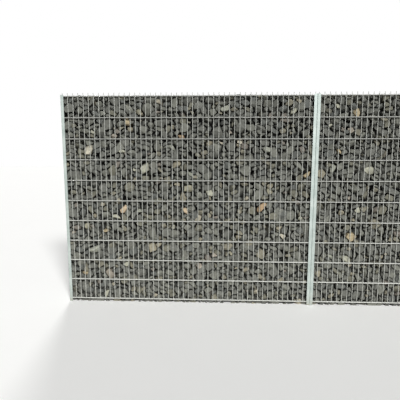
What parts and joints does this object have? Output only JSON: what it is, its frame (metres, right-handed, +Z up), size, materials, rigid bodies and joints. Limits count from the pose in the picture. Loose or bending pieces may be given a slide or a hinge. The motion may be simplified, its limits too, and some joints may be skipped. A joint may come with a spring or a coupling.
{
  "type": "gabion wall",
  "caption": "Gabion wall in bays: loose stone packed between welded wire mats, which sit behind the flanges of folded galvanised channel posts.",
  "frame": {"origin": "on the ground under the middle of the wall", "axes": "+X along the wall, +Y from its front to its back, +Z up"},
  "size_m": [7.302, 0.23, 2.065],
  "materials": {
    "post_steel": "galvanised sheet, pale and slightly mottled",
    "rod_steel": "galvanised rod",
    "upright_steel": "galvanised wire",
    "tie_steel": "galvanised wire",
    "stone": "broken dark grey stone with some buff pieces"
  },
  "bodies": {
    "root": {"bay_1_left_post": "post_steel", "bay_1_right_post": "post_steel", "bay_1_front_mat_rods": "rod_steel", "bay_1_front_mat_uprights": "upright_steel", "bay_1_back_mat_rods": "rod_steel", "bay_1_back_mat_uprights": "upright_steel", "bay_1_mat_ties": "tie_steel", "bay_1_stone_fill": "stone", "bay_2_left_post": "post_steel", "bay_2_right_post": "post_steel", "bay_2_front_mat_rods": "rod_steel", "bay_2_front_mat_uprights": "upright_steel", "bay_2_back_mat_rods": "rod_steel", "bay_2_back_mat_uprights": "upright_steel", "bay_2_mat_ties": "tie_steel", "bay_2_stone_fill": "stone", "bay_3_left_post": "post_steel", "bay_3_right_post": "post_steel", "bay_3_front_mat_rods": "rod_steel", "bay_3_front_mat_uprights": "upright_steel", "bay_3_back_mat_rods": "rod_steel", "bay_3_back_mat_uprights": "upright_steel", "bay_3_mat_ties": "tie_steel", "bay_3_stone_fill": "stone"}
  },
  "joints": []
}
